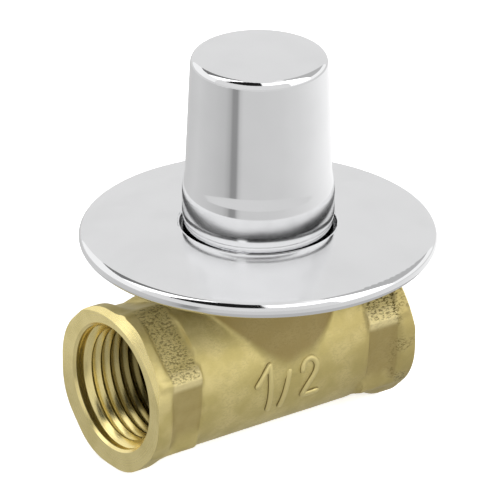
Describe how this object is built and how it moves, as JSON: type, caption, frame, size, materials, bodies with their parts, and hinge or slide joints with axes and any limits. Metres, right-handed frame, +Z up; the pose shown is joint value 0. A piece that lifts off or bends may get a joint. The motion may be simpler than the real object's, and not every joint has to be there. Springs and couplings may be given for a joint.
{
  "type": "concealed stop valve",
  "caption": "Concealed stop valve: cast brass body with pipe sockets, chromed wall rosette and a round turning handle.",
  "frame": {"origin": "middle of the inlet socket's mouth, on the pipe axis", "axes": "+X along the pipe the way the water runs, +Z up the spindle, out of the wall"},
  "size_m": [0.0582, 0.0582, 0.0658],
  "materials": {
    "cast_brass": "sand cast, dull, with bright turned end faces and threads",
    "turned_brass": "turned, bright",
    "chrome_sheet": "polished chrome plate on pressed sheet",
    "chrome_cast": "polished chrome plate on a casting",
    "rubber": "matt black",
    "fibre": "pressed red fibre",
    "slip_plastic": "white, smooth",
    "hub_plastic": "moulded dark grey",
    "spring_steel": "bright spring steel",
    "stainless": "stainless, fine turned"
  },
  "bodies": {
    "body": {"valve_body": "cast_brass", "headwork_gasket": "fibre", "headwork_housing": "turned_brass", "rosette_backing_washer": "rubber", "rosette": "chrome_sheet", "rosette_lock_nut": "turned_brass"},
    "handle": {"handle_shell": "chrome_cast", "handle_insert": "hub_plastic", "handle_spring_ring": "spring_steel", "spindle": "turned_brass", "spindle_thrust_washer": "slip_plastic", "spindle_o_ring_lower": "rubber", "spindle_o_ring_upper": "rubber", "spindle_circlip": "spring_steel"},
    "disc": {"disc_carrier": "turned_brass", "carrier_o_ring": "rubber", "seat_washer": "rubber", "seat_washer_plate": "stainless", "seat_washer_screw": "stainless"}
  },
  "joints": [
    {"name": "handle_turn", "type": "hinge", "parent": "body", "child": "handle", "pos_m": [0.0291, 0, 0], "axis": [0, 0, 1], "range_deg": [0, 900]},
    {"name": "disc_lift", "type": "slide", "parent": "body", "child": "disc", "axis": [0, 0, 1], "range_m": [0, 0.004]}
  ],
  "couplings": [
    {"joint": "disc_lift", "follows": "handle_turn", "m_per_rad": 0.00025465}
  ]
}
